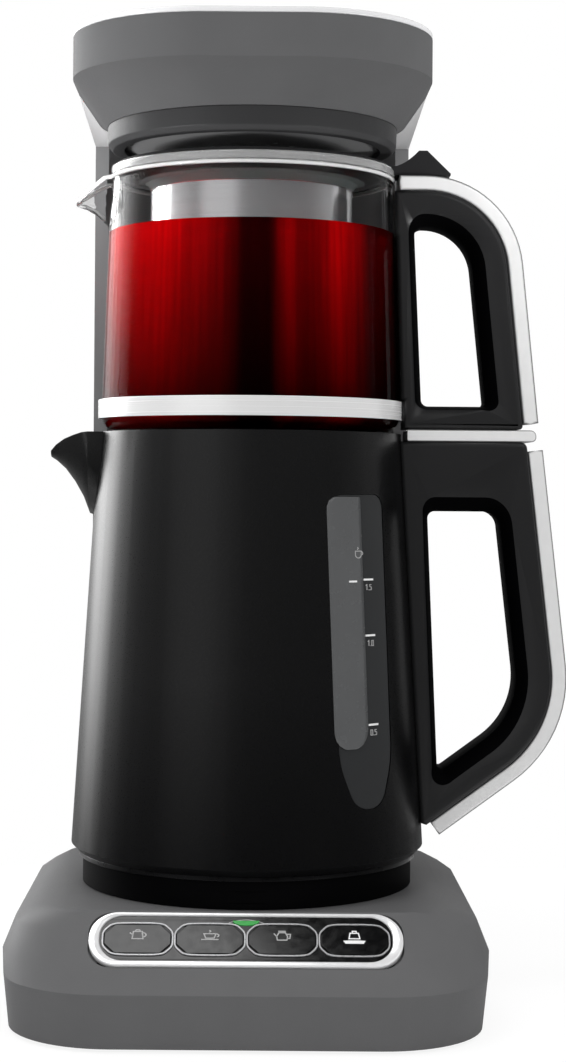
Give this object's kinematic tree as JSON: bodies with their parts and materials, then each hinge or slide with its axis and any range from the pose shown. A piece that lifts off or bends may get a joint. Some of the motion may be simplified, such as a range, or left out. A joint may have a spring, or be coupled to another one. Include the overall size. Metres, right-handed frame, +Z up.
{
  "type": "tea and coffee maker",
  "caption": "Countertop tea and coffee maker: black electric kettle with a glass teapot stacked on a grey base with touch keys, under a tower with an overhanging brewing head.",
  "frame": {"origin": "on the counter, under the axis of the kettle and teapot, at the middle foot", "axes": "+Z up, +X to the side of both handles, -Y to the front where the keys are"},
  "size_m": [0.2335, 0.1906, 0.407],
  "materials": {
    "grey_plastic": "fine satin",
    "pale_plastic": "fine satin",
    "black_plastic": "fine satin",
    "black_coat": "matt black coating",
    "panel_black": "polished",
    "key_black": "satin",
    "chrome": "polished",
    "steel": "brushed",
    "zinc_steel": "zinc plated",
    "brass": "plain",
    "rubber": "matt",
    "silicone": "matt",
    "clear_glass": "clear",
    "smoked_clear": "smoked clear",
    "green_light": "lit lens",
    "board_green": "printed board",
    "pipe_white": "plain",
    "dark_plastic": "satin"
  },
  "bodies": {
    "machine": {"base_shell": "grey_plastic", "base_plate": "black_plastic", "base_feet": "rubber", "base_screws": "zinc_steel", "panel_bezel": "chrome", "panel_plate": "panel_black", "status_light": "green_light", "control_board": "board_green", "key_switches": "dark_plastic", "power_coupling": "black_plastic", "coupling_contacts": "brass", "water_port": "pipe_white", "pump_body": "dark_plastic", "pump_motor": "zinc_steel", "inlet_hose": "pipe_white", "riser_pipe": "pipe_white", "cord_gland": "black_plastic", "tower_front": "grey_plastic", "tower_back": "grey_plastic", "tower_screws": "zinc_steel", "head_shell": "grey_plastic", "head_wings": "pale_plastic", "head_neck": "dark_plastic", "head_trim": "chrome", "head_cover": "grey_plastic", "shower_plate": "dark_plastic"},
    "key_boil_cap": {"key_boil": "key_black"},
    "key_tea_cap": {"key_tea": "key_black"},
    "key_coffee_cap": {"key_coffee": "key_black"},
    "key_warm_cap": {"key_warm": "key_black"},
    "impeller": {"pump_impeller": "pipe_white"},
    "kettle": {"kettle_body": "black_coat", "kettle_skirt": "black_plastic", "trim_ring": "chrome", "heater_plate": "steel", "heater_element": "zinc_steel", "plate_seal": "silicone", "kettle_socket": "black_plastic", "socket_pins": "brass", "temperature_probe": "steel", "valve_spring": "steel", "level_window": "smoked_clear", "kettle_handle": "black_plastic", "kettle_handle_trim": "chrome", "kettle_handle_cap": "chrome", "kettle_top_ring": "black_plastic", "seat_gasket": "rubber"},
    "valve": {"kettle_valve": "pipe_white"},
    "teapot": {"teapot_glass": "clear_glass", "teapot_band": "steel", "band_clasp": "steel", "teapot_handle": "black_plastic", "teapot_handle_trim": "chrome", "teapot_lid": "dark_plastic", "infuser": "steel"}
  },
  "joints": [
    {"name": "key_boil_press", "type": "slide", "parent": "machine", "child": "key_boil_cap", "axis": [0, 0.7071, -0.7071], "range_m": [0, 0.001], "stiffness_N_per_m": 1200},
    {"name": "key_tea_press", "type": "slide", "parent": "machine", "child": "key_tea_cap", "axis": [0, 0.7071, -0.7071], "range_m": [0, 0.001], "stiffness_N_per_m": 1200},
    {"name": "key_coffee_press", "type": "slide", "parent": "machine", "child": "key_coffee_cap", "axis": [0, 0.7071, -0.7071], "range_m": [0, 0.001], "stiffness_N_per_m": 1200},
    {"name": "key_warm_press", "type": "slide", "parent": "machine", "child": "key_warm_cap", "axis": [0, 0.7071, -0.7071], "range_m": [0, 0.001], "stiffness_N_per_m": 1200},
    {"name": "pump_spin", "type": "hinge", "parent": "machine", "child": "impeller", "pos_m": [-0.0515, 0.03, 0.012], "axis": [0, 0, 1], "continuous": true},
    {"name": "kettle_lift", "type": "slide", "parent": "machine", "child": "kettle", "axis": [0, 0, 1], "range_m": [0, 0.0056]},
    {"name": "valve_close", "type": "slide", "parent": "kettle", "child": "valve", "axis": [0, 0, -1], "range_m": [0, 0.002]},
    {"name": "teapot_pull", "type": "slide", "parent": "kettle", "child": "teapot", "axis": [0, -1, 0], "range_m": [0, 0.16]}
  ],
  "couplings": [
    {"joint": "valve_close", "follows": "kettle_lift", "ratio": 0.35}
  ]
}
